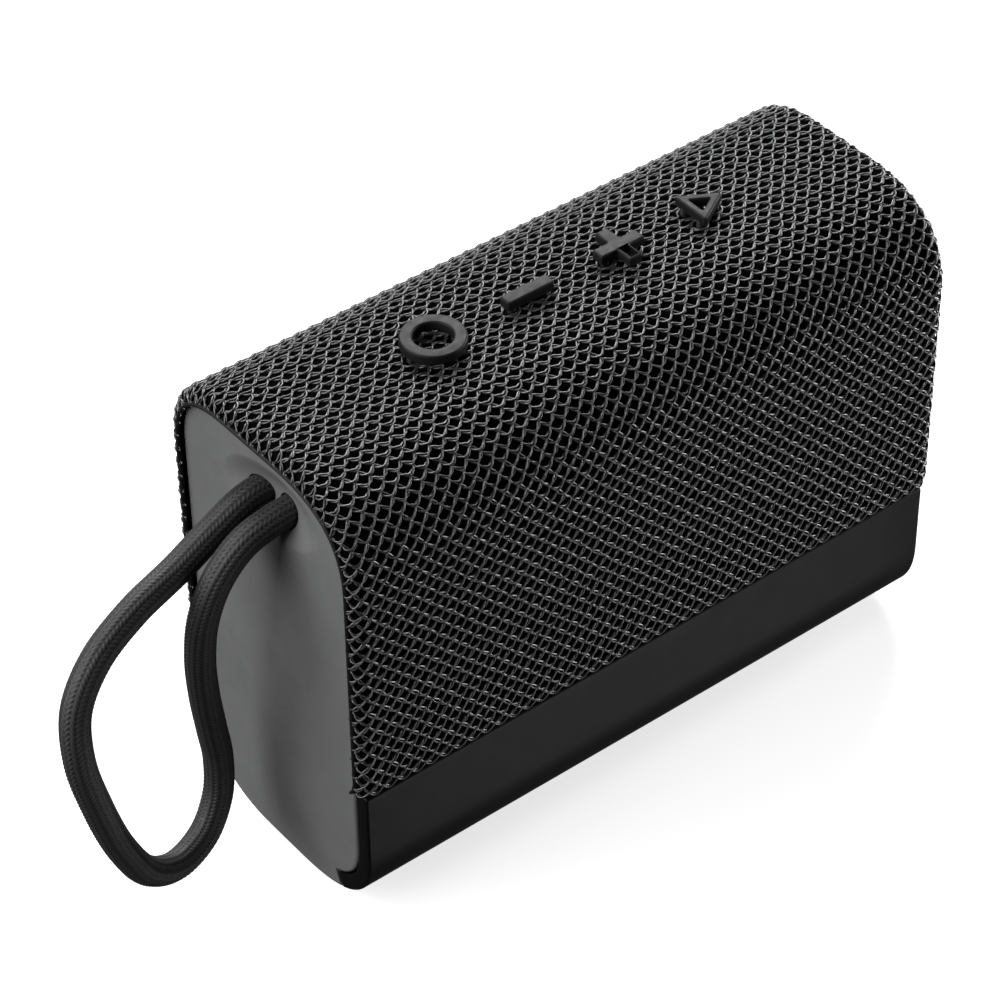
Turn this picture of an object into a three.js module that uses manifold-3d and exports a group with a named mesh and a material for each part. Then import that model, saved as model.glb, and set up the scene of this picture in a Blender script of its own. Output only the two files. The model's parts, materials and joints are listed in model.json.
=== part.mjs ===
// Pocket-size waterproof shower speaker with a knit sleeve and a braided hanging strap.
// Millimetres, +Z up. X runs along the body, -Y is the front, Z = 0 is the surface it stands on.
import * as THREE from 'three';
import { mergeVertices } from 'three/addons/utils/BufferGeometryUtils.js';
import Module from 'manifold-3d';

const wasm = await Module();
wasm.setup();

// Driving dimensions
const HALF_LENGTH = 52.5;
const HALF_DEPTH = 20.7;
const BASE_Z = 0.8;
const TOP_Z = 78.8;
const CORNER_POWER = 2.465;
const CORNERS = {
  frontBottom: { ry: 17.5, rz: 13.5 },
  frontTop: { ry: 16.7, rz: 16.2 },
  backTop: { ry: 13.9, rz: 14.3 },
  backBottom: { ry: 17.4, rz: 18.3 },
};
const POINTS_PER_CORNER = 28;
const GAP = 0.3;
const STEP_ALONG = 3.3;

// Where the band, the sleeve and the tray begin and end on the outline
const BAND_TOP_Z = 25.9;
const BAND_FOOT_Y = -13.5;
const TRAY_TOP_Z = 28.8;

// Layers, as distances inwards from the outline
const SLEEVE = { outer: 0, inner: 1.0, roll: 2.2 };
const GRILLE = { outer: 1.3, inner: 2.6 };
const BAND = { outer: 0, inner: 2.6 };
const CABINET = { outer: 2.9, inner: 4.7 };
const CAP = { inset: 2.5, bandInset: 2.9, thickness: 2.1, spigot: 5.9, depth: 6, wall: 2, chamfer: 0.5 };
const STRAP_PAD = { radius: 10, below: 2, start: 1.2 };
const SEAL = { outer: 5.0, inner: 5.6, from: 48.9, to: 47.3 };
const SHELL_HALF = HALF_LENGTH - CAP.thickness - GAP;
const WALL_Y = HALF_DEPTH - CABINET.inner;

const DRIVER = { x: 0, z: 44, window: 15.5, flange: 20.4, screwRadius: 18.6 };
const SURROUND = { radius: 14.85, y: -13.9, roll: 1.25, thick: 0.5 };
const DRIVER_HOLES = { pitch: 6.4, radius: 2.4, rows: 2 };
const RADIATOR = { x: -4, z: 46, halfX: 25, halfZ: 13, rim: 3, window: 3, plateX: 17.8, plateZ: 5.8 };
const RADIATOR_SLOTS = { pitch: 8, halfX: 2.2, halfZ: 8.5 };

const KEYS = { power: -23.5, minus: -7.2, plus: 9.1, play: 24.2 };
const KEY = { underside: 79.3, top: 80.9, post: 0.65, hole: 1.05, pusherTop: 72.9, pusherLow: 72.1 };
const KEY_RING = { outer: 4.75, inner: 2.85 };
const KEY_BAR = { halfLong: 4.1, halfPlus: 3.9, halfWide: 1.1, round: 0.5 };
const KEY_TRIANGLE = { outer: 4.1, inner: 1.75 };
const PUSHER = { halfX: 4.7, halfY: 1.3, playHalfY: 2.8, round: 0.8 };
const KEY_SEAL = { halfX: 31, halfY: 4.2, round: 1.5, low: 73.2, high: 73.7, hole: 0.95 };
const SWITCH = { half: 2.3, high: 71.1, plunger: 1, plungerTop: 71.6 };

const PORT = { x: 34.2, z: 21.5, width: 14, height: 8, flap: 2 };
const NAIL = { radius: 1.1, reach: 0.4, half: 2 };
const SOCKET = { halfX: 4.5, wall: 0.4, front: 9, back: HALF_DEPTH - 3.2, high: 22.9 };
const TONGUE = { halfX: 3.3, low: 20.95, high: 21.65 };
const SOCKET_WINDOW = { halfX: 4.9, below: 2.1, above: 2 };
const BUTTON_BOARD = { low: 68.3, high: 69.3, halfX: 30, halfY: 5, screws: [-15.3, 16.7] };
const MAIN_BOARD = { low: 18.4, high: 19.4, x0: 25, x1: 45, y0: -12, y1: 13.5 };
const BOARD_SCREWS = [[28.6, -8.5], [41.5, 5]];
const SCREW = { radius: 0.7, headRadius: 1.4, headHeight: 0.9, pilot: 0.9, clearance: 1.0 };
const BOSS = { driver: 1.6, buttonBoard: 1.9, mainBoard: 2.2 };
const BATTERY = { x: -10, halfX: 29.6, halfY: 8.6, low: 8.2, high: 15.6, round: 1.5 };
const CRADLE = { halfX: 31.2, halfY: 9, low: 7, high: 12, wall: 1.2, floor: 0.9 };
const LEAD = { radius: 0.6, ribbonRadius: 0.7, aboveBoard: 1.1 };
const FOOT = { frontY: -7, rearY: 7.4, halfX: 38, halfY: 2, round: 1.9, gap: 0.15 };
const STRAP = { radius: 2.25, exitY: 2.9, exitZ: 66.2, innerX: -43.6, capHole: 2.65, anchorHole: 2.6 };
const ANCHOR = { x0: -46.2, x1: -41.5, halfY: 6.4, below: 3.9, above: 3.6 };
const RECESS = { y: -1.5, z: 67.6, rx: 2.4, ry: 10.6, rz: 5.9, tilt: -0.14 };

const group = new THREE.Group();

function material(color, roughness, metalness = 0) {
  return new THREE.MeshStandardMaterial({ color, roughness, metalness });
}

function add(name, geometry, finish) {
  geometry.computeVertexNormals();
  const mesh = new THREE.Mesh(geometry, finish);
  mesh.name = name;
  group.add(mesh);
}

// Solids for joining and cutting
function solid(geometry) {
  const bare = geometry.clone();
  bare.deleteAttribute('normal');
  bare.deleteAttribute('uv');
  const merged = mergeVertices(bare, 1e-4);
  return new wasm.Manifold(new wasm.Mesh({
    numProp: 3,
    vertProperties: new Float32Array(merged.attributes.position.array),
    triVerts: new Uint32Array(merged.index.array),
  }));
}

function surface(manifold) {
  const mesh = manifold.getMesh();
  const geometry = new THREE.BufferGeometry();
  geometry.setAttribute('position', new THREE.BufferAttribute(new Float32Array(mesh.vertProperties), 3));
  geometry.setIndex(new THREE.BufferAttribute(new Uint32Array(mesh.triVerts), 1));
  return geometry;
}

function cut(base, tools) {
  return surface(tools.reduce((body, tool) => body.subtract(solid(tool)), solid(base)));
}

function join(parts) {
  return surface(parts.slice(1).reduce((body, part) => body.add(solid(part)), solid(parts[0])));
}

// The body's outline: four superelliptic corners joined by flats, walked from the middle of the
// bottom to the front, up, over the top, down the back and home again.
function corner({ ry, rz }, sideY, sideZ, from) {
  const cy = sideY * (HALF_DEPTH - ry);
  const cz = sideZ < 0 ? BASE_Z + rz : TOP_Z - rz;
  const points = [];
  for (let i = 0; i <= POINTS_PER_CORNER; i += 1) {
    const angle = from - (Math.PI / 2) * (i / POINTS_PER_CORNER);
    const c = Math.cos(angle);
    const s = Math.sin(angle);
    const y = cy + ry * Math.sign(c) * Math.abs(c) ** (2 / CORNER_POWER);
    const z = cz + rz * Math.sign(s) * Math.abs(s) ** (2 / CORNER_POWER);
    points.push(new THREE.Vector2(y, z));
  }
  return points;
}

function outlinePoints() {
  return [
    new THREE.Vector2(0, BASE_Z),
    ...corner(CORNERS.frontBottom, -1, -1, -Math.PI / 2),
    ...corner(CORNERS.frontTop, -1, 1, Math.PI),
    ...corner(CORNERS.backTop, 1, 1, Math.PI / 2),
    ...corner(CORNERS.backBottom, 1, -1, 0),
    new THREE.Vector2(0, BASE_Z),
  ];
}

const OUTLINE = outlinePoints();
const LENGTHS = [0];
for (let i = 1; i < OUTLINE.length; i += 1) {
  LENGTHS.push(LENGTHS[i - 1] + OUTLINE[i].distanceTo(OUTLINE[i - 1]));
}
const PERIMETER = LENGTHS[LENGTHS.length - 1];

function onOutline(along) {
  const s = ((along % PERIMETER) + PERIMETER) % PERIMETER;
  let i = 1;
  while (LENGTHS[i] < s) i += 1;
  const share = (s - LENGTHS[i - 1]) / (LENGTHS[i] - LENGTHS[i - 1]);
  return OUTLINE[i - 1].clone().lerp(OUTLINE[i], share);
}

function inset(along, distance, reach = 0.8) {
  const tangent = onOutline(along + reach).sub(onOutline(along - reach)).normalize();
  return onOutline(along).sub(new THREE.Vector2(-tangent.y, tangent.x).multiplyScalar(distance));
}

function walkUntil(test) {
  let s = 0;
  while (!test(onOutline(s))) s += 0.05;
  return s;
}

function steps(from, to) {
  const count = Math.round((to - from) / STEP_ALONG);
  return Array.from({ length: count + 1 }, (_, i) => from + ((to - from) * i) / count);
}

// Places round the whole outline, and where the band and the tray begin and end
const ALL_ROUND = steps(0, PERIMETER).slice(0, -1);
const BAND_FOOT = walkUntil((p) => p.x <= BAND_FOOT_Y);
const BAND_TOP = walkUntil((p) => p.y >= BAND_TOP_Z);
const TRAY_TOP = walkUntil((p) => p.x > HALF_DEPTH - 1 && p.y <= TRAY_TOP_Z);

function build(vertices, triangles) {
  const geometry = new THREE.BufferGeometry();
  geometry.setAttribute('position', new THREE.Float32BufferAttribute(vertices.flat(), 3));
  let volume = 0;
  for (const [a, b, c] of triangles) {
    const [p, q, r] = [vertices[a], vertices[b], vertices[c]].map((v) => new THREE.Vector3(...v));
    volume += p.dot(q.cross(r));
  }
  geometry.setIndex(triangles.flatMap(([a, b, c]) => (volume > 0 ? [a, b, c] : [a, c, b])));
  return geometry;
}

// A wall that follows the outline: stations are { x, outer, inner } and spots are places along it.
function wall(stations, spots, closed = false) {
  const vertices = [];
  const triangles = [];
  const count = spots.length;
  for (const { x, outer, inner } of stations) {
    for (const depth of [outer, inner]) {
      for (const spot of spots) {
        const p = inset(spot, depth);
        vertices.push([x, p.x, p.y]);
      }
    }
  }
  const id = (station, side, j) => (station * 2 + side) * count + (j % count);
  const quad = (a, b, c, d) => triangles.push([a, b, c], [a, c, d]);
  const last = stations.length - 1;
  const spans = closed ? count : count - 1;
  for (let j = 0; j < spans; j += 1) {
    for (let i = 0; i < last; i += 1) {
      quad(id(i, 0, j), id(i + 1, 0, j), id(i + 1, 0, j + 1), id(i, 0, j + 1));
      quad(id(i, 1, j), id(i, 1, j + 1), id(i + 1, 1, j + 1), id(i + 1, 1, j));
    }
    quad(id(0, 0, j), id(0, 0, j + 1), id(0, 1, j + 1), id(0, 1, j));
    quad(id(last, 0, j), id(last, 1, j), id(last, 1, j + 1), id(last, 0, j + 1));
  }
  for (let i = 0; i < last && !closed; i += 1) {
    quad(id(i, 0, 0), id(i, 1, 0), id(i + 1, 1, 0), id(i + 1, 0, 0));
    quad(id(i, 0, count - 1), id(i + 1, 0, count - 1), id(i + 1, 1, count - 1), id(i, 1, count - 1));
  }
  return build(vertices, triangles);
}

// A solid through closed rings of [x, y, z] points, capped by a fan at each end.
function loft(rings) {
  const count = rings[0].length;
  const vertices = rings.flat();
  const triangles = [];
  for (let i = 0; i + 1 < rings.length; i += 1) {
    for (let j = 0; j < count; j += 1) {
      const k = (j + 1) % count;
      triangles.push([i * count + j, (i + 1) * count + j, (i + 1) * count + k]);
      triangles.push([i * count + j, (i + 1) * count + k, i * count + k]);
    }
  }
  for (const [ring, turned] of [[0, false], [rings.length - 1, true]]) {
    const middle = vertices.length;
    const sum = rings[ring].reduce((a, p) => a.map((v, n) => v + p[n] / count), [0, 0, 0]);
    vertices.push(sum);
    for (let j = 0; j < count; j += 1) {
      const a = ring * count + j;
      const b = ring * count + ((j + 1) % count);
      triangles.push(turned ? [middle, b, a] : [middle, a, b]);
    }
  }
  return build(vertices, triangles);
}

// Plain shapes
function box(x0, x1, y0, y1, z0, z1) {
  const geometry = new THREE.BoxGeometry(x1 - x0, y1 - y0, z1 - z0);
  return geometry.translate((x0 + x1) / 2, (y0 + y1) / 2, (z0 + z1) / 2);
}

function rodY(x, z, radius, y0, y1, sides = 32) {
  return new THREE.CylinderGeometry(radius, radius, y1 - y0, sides).translate(x, (y0 + y1) / 2, z);
}

function rodZ(x, y, radius, z0, z1, sides = 16) {
  const geometry = new THREE.CylinderGeometry(radius, radius, z1 - z0, sides).rotateX(Math.PI / 2);
  return geometry.translate(x, y, (z0 + z1) / 2);
}

function rodX(y, z, radius, x0, x1, sides = 24) {
  const geometry = new THREE.CylinderGeometry(radius, radius, x1 - x0, sides).rotateZ(Math.PI / 2);
  return geometry.translate((x0 + x1) / 2, y, z);
}

// A turned part about the driver's axis, from [radius, y] pairs that run anticlockwise
function turned(profile, sides = 24) {
  const ends = profile[0][0] === 0 ? profile : [...profile, profile[0]];
  const points = ends.map(([r, y]) => new THREE.Vector2(r, y));
  return surface(solid(new THREE.LatheGeometry(points, sides))).translate(DRIVER.x, 0, DRIVER.z);
}

function raised(shape, z0, z1, x = 0, y = 0, curveSegments = 2) {
  const geometry = new THREE.ExtrudeGeometry(shape, { depth: z1 - z0, bevelEnabled: false, curveSegments });
  return geometry.translate(x, y, z0);
}

// Materials
const knit = material(0x17181a, 0.92);
const capPlastic = material(0x46484a, 0.62);
const bandPlastic = material(0x1a1c1a, 0.42);
const innerPlastic = material(0x222426, 0.6);
const rubber = material(0x1d1e1f, 0.75);
const keyRubber = material(0x303234, 0.5);
const foam = material(0x2b2b2d, 0.95);
const steel = material(0x9a9da0, 0.35, 1);
const darkSteel = material(0x3a3c3f, 0.4, 1);
const ferrite = material(0x2a2a2c, 0.7);
const copper = material(0xb06a35, 0.4, 1);
const paper = material(0x18181a, 0.85);
const spiderCloth = material(0xa07a3c, 0.9);
const boardGreen = material(0x0f3d26, 0.5);
const cellWrap = material(0x3d6fa5, 0.45);
const cordBlack = material(0x1a1b1d, 0.85);
const leadRed = material(0x8c1f1f, 0.5);

// Key layout: outlines in plan, and the posts that hold each key to its pusher
function ringShape() {
  const shape = new THREE.Shape().absarc(0, 0, KEY_RING.outer, 0, Math.PI * 2);
  shape.holes.push(new THREE.Path().absarc(0, 0, KEY_RING.inner, 0, Math.PI * 2));
  return shape;
}

function roundedBar(halfX, halfY, radius) {
  const shape = new THREE.Shape();
  shape.absarc(halfX - radius, halfY - radius, radius, 0, Math.PI / 2);
  shape.absarc(-halfX + radius, halfY - radius, radius, Math.PI / 2, Math.PI);
  shape.absarc(-halfX + radius, -halfY + radius, radius, Math.PI, Math.PI * 1.5);
  shape.absarc(halfX - radius, -halfY + radius, radius, Math.PI * 1.5, Math.PI * 2);
  return shape;
}

function triangleShape() {
  const shape = new THREE.Shape();
  const hole = new THREE.Path();
  for (const [path, reach] of [[shape, KEY_TRIANGLE.outer], [hole, KEY_TRIANGLE.inner]]) {
    for (let i = 0; i < 3; i += 1) {
      const angle = (i * Math.PI * 2) / 3;
      const [x, y] = [reach * Math.cos(angle), reach * Math.sin(angle)];
      if (i === 0) path.moveTo(x, y);
      else path.lineTo(x, y);
    }
    path.closePath();
  }
  shape.holes.push(hole);
  return shape;
}

function keyBar(halfX, halfY) {
  return roundedBar(halfX, halfY, KEY_BAR.round);
}

const KEY_FACES = {
  power: [ringShape()],
  minus: [keyBar(KEY_BAR.halfLong, KEY_BAR.halfWide)],
  plus: [keyBar(KEY_BAR.halfPlus, KEY_BAR.halfWide), keyBar(KEY_BAR.halfWide, KEY_BAR.halfPlus)],
  play: [triangleShape()],
};
const KEY_POSTS = {
  power: [[-3.8, 0], [3.8, 0]],
  minus: [[-2.8, 0], [2.8, 0]],
  plus: [[-2.6, 0], [2.6, 0]],
  play: [[-1.5, -1.8], [-1.5, 1.8], [2.6, 0]],
};

function postHoles(z0, z1, radius = KEY.hole) {
  return Object.keys(KEYS).flatMap((key) => (
    KEY_POSTS[key].map(([x, y]) => rodZ(KEYS[key] + x, y, radius, z0, z1, 8))
  ));
}

// Outer layers
function rollStations() {
  const stations = [75, 50, 25].map((degrees) => {
    const a = THREE.MathUtils.degToRad(degrees);
    const x = HALF_LENGTH - SLEEVE.roll + SLEEVE.roll * Math.sin(a);
    return { x, outer: SLEEVE.roll * (1 - Math.cos(a)), inner: SLEEVE.roll };
  });
  const bend = HALF_LENGTH - SLEEVE.roll + 0.1;
  stations.push({ x: bend, outer: 0, inner: SLEEVE.roll });
  stations.push({ x: bend - 0.2, outer: 0, inner: SLEEVE.inner });
  const mirrored = stations.map((s) => ({ ...s, x: -s.x })).reverse();
  return [...stations, ...mirrored];
}

function makeSleeve() {
  const body = wall(rollStations(), steps(BAND_TOP + GAP, TRAY_TOP));
  add('knit_sleeve', cut(body, postHoles(TOP_Z - 3, TOP_Z + 1)), knit);
}

function driverGrilleHoles() {
  const { pitch, radius, rows } = DRIVER_HOLES;
  const holes = [];
  for (let row = -rows; row <= rows; row += 1) {
    const inRow = 2 * rows + 1 - Math.abs(row);
    for (let i = 0; i < inRow; i += 1) {
      const x = DRIVER.x + (i - (inRow - 1) / 2) * pitch;
      const z = DRIVER.z + row * pitch * Math.sin(Math.PI / 3);
      holes.push(rodY(x, z, radius, -HALF_DEPTH - 1, -HALF_DEPTH + 4, 8));
    }
  }
  return holes;
}

function radiatorGrilleSlots() {
  const { pitch, halfX, halfZ } = RADIATOR_SLOTS;
  return [-2, -1, 0, 1, 2].map((i) => {
    const x = RADIATOR.x + i * pitch;
    return box(x - halfX, x + halfX, HALF_DEPTH - 4, HALF_DEPTH + 1, RADIATOR.z - halfZ, RADIATOR.z + halfZ);
  });
}

function makeGrille() {
  const ends = [-SHELL_HALF, SHELL_HALF].map((x) => ({ x, ...GRILLE }));
  const body = wall(ends, steps(BAND_TOP + GAP, TRAY_TOP));
  const tools = [...driverGrilleHoles(), ...radiatorGrilleSlots(), ...postHoles(TOP_Z - 4, TOP_Z + 1)];
  add('grille_shell', cut(body, tools), innerPlastic);
}

function makeBand() {
  const ends = [-HALF_LENGTH, HALF_LENGTH].map((x) => ({ x, ...BAND }));
  add('front_band', wall(ends, steps(BAND_FOOT, BAND_TOP)), bandPlastic);
}

function makeTray() {
  const ends = [-SHELL_HALF, SHELL_HALF].map((x) => ({ x, ...BAND }));
  const body = wall(ends, steps(TRAY_TOP + GAP, PERIMETER + BAND_FOOT - GAP));
  const mouth = box(
    PORT.x - PORT.width / 2, PORT.x + PORT.width / 2, HALF_DEPTH - 4, HALF_DEPTH + 2,
    PORT.z - PORT.height / 2, PORT.z + PORT.height / 2,
  );
  add('bottom_tray', cut(body, [mouth]), bandPlastic);
}

// The ring at x of places [along, depth]
function ringOf(places, x) {
  return places.map(([along, depth]) => {
    const p = inset(along, depth);
    return [x, p.x, p.y];
  });
}

function evenRing(depth, x) {
  return ringOf(ALL_ROUND.map((along) => [along, depth]), x);
}

function capBody(side) {
  const upper = steps(BAND_TOP, TRAY_TOP + GAP).map((s) => [s, CAP.inset]);
  const front = steps(BAND_FOOT - GAP, BAND_TOP - GAP).map((s) => [s, CAP.bandInset]);
  const lower = steps(TRAY_TOP + GAP, PERIMETER + BAND_FOOT - GAP).map((s) => [s, 0]);
  const edge = [...front, ...upper, ...lower];
  const chamfered = edge.map(([s, d]) => [s, d + CAP.chamfer]);
  const face = side * HALF_LENGTH;
  const back = side * (HALF_LENGTH - CAP.thickness);
  const plate = loft([
    ringOf(chamfered, face),
    ringOf(edge, face - side * CAP.chamfer),
    ringOf(edge, back),
  ]);
  const deep = side * (HALF_LENGTH - CAP.depth);
  const spigot = loft([evenRing(CAP.spigot, back + side * 0.5), evenRing(CAP.spigot, deep)]);
  const hollow = CAP.spigot + CAP.wall;
  const pocket = loft([evenRing(hollow, back - side * 0.4), evenRing(hollow, deep - side)]);
  return cut(join([plate, spigot]), [pocket]);
}

function strapHoles(x0, x1, radius) {
  return [-1, 1].map((side) => rodX(side * STRAP.exitY, STRAP.exitZ, radius, x0, x1));
}

function scoop() {
  const dish = new THREE.SphereGeometry(1, 32, 18).scale(RECESS.rx, RECESS.ry, RECESS.rz);
  return dish.rotateX(RECESS.tilt).translate(-HALF_LENGTH, RECESS.y, RECESS.z);
}

// The block behind the recess, as wide as the spigot lets it be
function strapPad() {
  const deep = -HALF_LENGTH + CAP.depth;
  const front = -HALF_LENGTH + CAP.thickness - 0.5;
  const pad = rodX(RECESS.y, RECESS.z - STRAP_PAD.below, STRAP_PAD.radius, front, deep);
  const inner = loft([evenRing(CAP.spigot, -HALF_LENGTH + STRAP_PAD.start), evenRing(CAP.spigot, deep + 1)]);
  return surface(solid(pad).intersect(solid(inner)));
}

function makeCaps() {
  const holes = strapHoles(-HALF_LENGTH - 1, -HALF_LENGTH + 8, STRAP.capHole);
  add('left_cap', cut(join([capBody(-1), strapPad()]), [scoop(), ...holes]), capPlastic);
  add('right_cap', capBody(1), capPlastic);
  for (const [name, side] of [['left_cap_seal', -1], ['right_cap_seal', 1]]) {
    const ends = [SEAL.from, SEAL.to].map((x) => ({ x: side * x, outer: SEAL.outer, inner: SEAL.inner }));
    add(name, wall(ends, ALL_ROUND, true), rubber);
  }
}

// Cabinet
function racetrack(halfX, halfZ, y, sides = 10) {
  const points = [];
  for (const end of [1, -1]) {
    for (let i = 0; i <= sides; i += 1) {
      const angle = -Math.PI / 2 + (Math.PI * i) / sides;
      const x = RADIATOR.x + end * (halfX - halfZ + halfZ * Math.cos(angle));
      points.push([x, y, RADIATOR.z + end * halfZ * Math.sin(angle)]);
    }
  }
  return points;
}

function racetrackPlate(halfX, halfZ, y0, y1) {
  return loft([racetrack(halfX, halfZ, y0), racetrack(halfX, halfZ, y1)]);
}

const DRIVER_SCREWS = [45, 135, 225, 315].map((degrees) => {
  const a = THREE.MathUtils.degToRad(degrees);
  return [DRIVER.x + DRIVER.screwRadius * Math.cos(a), DRIVER.z + DRIVER.screwRadius * Math.sin(a)];
});

function makeCabinet() {
  const ends = [-SHELL_HALF, SHELL_HALF].map((x) => ({ x, ...CABINET }));
  const tube = wall(ends, ALL_ROUND, true);
  const bosses = [
    ...DRIVER_SCREWS.map(([x, z]) => rodY(x, z, BOSS.driver, -WALL_Y - 0.5, -14.9, 12)),
    ...BUTTON_BOARD.screws.map((x) => rodZ(x, 0, BOSS.buttonBoard, BUTTON_BOARD.high + GAP, TOP_Z - 4)),
    ...BOARD_SCREWS.map(([x, y]) => rodZ(x, y, BOSS.mainBoard, BASE_Z + 4, MAIN_BOARD.low - GAP)),
  ];
  const { pilot } = SCREW;
  const { halfX, halfZ, window } = RADIATOR;
  const tools = [
    rodY(DRIVER.x, DRIVER.z, DRIVER.window, -HALF_DEPTH, -WALL_Y + 1, 40),
    racetrackPlate(halfX - window, halfZ - window, WALL_Y - 1, HALF_DEPTH),
    box(
      PORT.x - SOCKET_WINDOW.halfX, PORT.x + SOCKET_WINDOW.halfX, WALL_Y - 1, HALF_DEPTH,
      PORT.z - SOCKET_WINDOW.below, PORT.z + SOCKET_WINDOW.above,
    ),
    ...postHoles(TOP_Z - 6, TOP_Z),
    ...DRIVER_SCREWS.map(([x, z]) => rodY(x, z, pilot, -WALL_Y - 1.2, -14, 10)),
    ...BUTTON_BOARD.screws.map((x) => rodZ(x, 0, pilot, BUTTON_BOARD.high, BUTTON_BOARD.high + 4, 10)),
    ...BOARD_SCREWS.map(([x, y]) => rodZ(x, y, pilot, MAIN_BOARD.low - 8, MAIN_BOARD.low, 10)),
  ];
  add('cabinet', cut(join([tube, ...bosses]), tools), innerPlastic);
}

function makeFeet() {
  const body = loft([-45, 45].map((x) => evenRing(-FOOT.gap, x)));
  for (const [name, y] of [['front_foot', FOOT.frontY], ['rear_foot', FOOT.rearY]]) {
    const foot = raised(roundedBar(FOOT.halfX, FOOT.halfY, FOOT.round), 0, 3, 0, y);
    add(name, cut(foot, [body]), rubber);
  }
}

// Port
function makePort() {
  const [x0, x1] = [PORT.x - PORT.width / 2 + GAP, PORT.x + PORT.width / 2 - GAP];
  const [z0, z1] = [PORT.z - PORT.height / 2 + GAP, PORT.z + PORT.height / 2 - GAP];
  const face = HALF_DEPTH - 0.1;
  const flap = box(x0, x1, face - PORT.flap, face, z0, z1);
  const nail = rodZ(x1 + NAIL.reach, HALF_DEPTH + 0.1, NAIL.radius, PORT.z - NAIL.half, PORT.z + NAIL.half);
  add('port_door', cut(flap, [nail]), rubber);
  const { halfX, wall: thick, front, back, high } = SOCKET;
  const low = MAIN_BOARD.high + GAP;
  const shell = box(PORT.x - halfX, PORT.x + halfX, front, back, low, high);
  const insideX = halfX - thick;
  const mouth = box(PORT.x - insideX, PORT.x + insideX, front + 2, HALF_DEPTH, low + thick, high - thick);
  const tongue = box(
    PORT.x - TONGUE.halfX, PORT.x + TONGUE.halfX, front + 1, back - 0.8, TONGUE.low, TONGUE.high,
  );
  add('usb_socket', join([cut(shell, [mouth]), tongue]), steel);
}

// Keys, their seal, switches and board
function makeKey(key, x) {
  const segments = key === 'power' ? 16 : 2;
  const faces = KEY_FACES[key].map((shape) => raised(shape, KEY.underside, KEY.top, x, 0, segments));
  const posts = KEY_POSTS[key].map(([px, py]) => (
    rodZ(x + px, py, KEY.post, KEY.pusherLow + 0.3, KEY.underside + 0.4, 8)
  ));
  const halfY = key === 'play' ? PUSHER.playHalfY : PUSHER.halfY;
  const pusher = raised(roundedBar(PUSHER.halfX, halfY, PUSHER.round), KEY.pusherLow, KEY.pusherTop, x);
  add(`${key}_button`, join([...faces, ...posts, pusher]), keyRubber);
}

function makeSwitch(key, x) {
  const { half, high, plunger, plungerTop } = SWITCH;
  const body = box(x - half, x + half, -half, half, BUTTON_BOARD.high + 0.2, high);
  add(`${key}_switch`, join([body, rodZ(x, 0, plunger, high - 0.1, plungerTop)]), darkSteel);
}

function makeButtonBoard() {
  const { low, high, halfX, halfY, screws } = BUTTON_BOARD;
  const screwHoles = screws.map((x) => rodZ(x, 0, SCREW.clearance, low - 8, high + 6, 12));
  add('button_board', cut(raised(roundedBar(halfX, halfY, 1), low, high), screwHoles), boardGreen);
  const sealShape = roundedBar(KEY_SEAL.halfX, KEY_SEAL.halfY, KEY_SEAL.round);
  const seal = raised(sealShape, KEY_SEAL.low, KEY_SEAL.high);
  const bossHoles = screws.map((x) => rodZ(x, 0, BOSS.buttonBoard + GAP, low - 8, high + 6));
  const holes = postHoles(KEY_SEAL.low - 1, KEY_SEAL.high + 1, KEY_SEAL.hole);
  add('key_seal', cut(seal, [...holes, ...bossHoles]), rubber);
}

// Main board, battery and wiring
function makeElectronics() {
  const { x0, x1, y0, y1, low, high } = MAIN_BOARD;
  const holes = BOARD_SCREWS.map(([x, y]) => rodZ(x, y, SCREW.clearance, low - 1, high + 1, 12));
  add('main_board', cut(box(x0, x1, y0, y1, low, high), holes), boardGreen);
  add('shield_can', box(31.5, 43.5, -11, 0.5, high + 0.2, high + 2.2), steel);
  add('inductor', rodZ(28.5, 1.5, 2.4, high + 0.2, high + 3.2), ferrite);
}

function makeBattery() {
  const left = BATTERY.x - CRADLE.halfX;
  const right = BATTERY.x + CRADLE.halfX;
  const cradle = box(left, right, -CRADLE.halfY, CRADLE.halfY, CRADLE.low, CRADLE.high);
  const well = box(
    left + CRADLE.wall, right - CRADLE.wall, -CRADLE.halfY - 1, CRADLE.halfY + 1,
    CRADLE.low + CRADLE.floor, CRADLE.high + 1,
  );
  add('battery_cradle', cut(cradle, [well]), innerPlastic);
  const shape = roundedBar(BATTERY.halfX, BATTERY.halfY, BATTERY.round);
  add('battery_cell', raised(shape, BATTERY.low, BATTERY.high, BATTERY.x, 0), cellWrap);
}

function lead(name, points, radius, finish, steps) {
  const curve = new THREE.CatmullRomCurve3(points.map((p) => new THREE.Vector3(...p)));
  const section = new THREE.Shape().absarc(0, 0, radius, 0, Math.PI * 2);
  const options = { steps, bevelEnabled: false, extrudePath: curve, curveSegments: 4 };
  add(name, new THREE.ExtrudeGeometry(section, options), finish);
}

function makeLeads() {
  const top = MAIN_BOARD.high + LEAD.aboveBoard;
  lead('battery_lead', [
    [19.9, 4, 14], [22.5, 4, 14.8], [23.6, 4, 18], [24.6, 4, 20.4], [26.6, 5, top], [28, 6.5, top],
  ], LEAD.radius, leadRed, 16);
  lead('driver_lead', [
    [13.6, -7.6, 36], [17, -4, 33], [21, -4, 28], [24, -5, 23], [26.8, -5.5, top], [29.6, -5.2, top],
  ], LEAD.radius, leadRed, 16);
  lead('key_ribbon', [
    [31, 0, 68.7], [34.5, 0, 66], [36, 2, 56], [36, 3, 40], [36, 3, 28], [36, 3, top + 0.2],
  ], LEAD.ribbonRadius, paper, 18);
}

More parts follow.
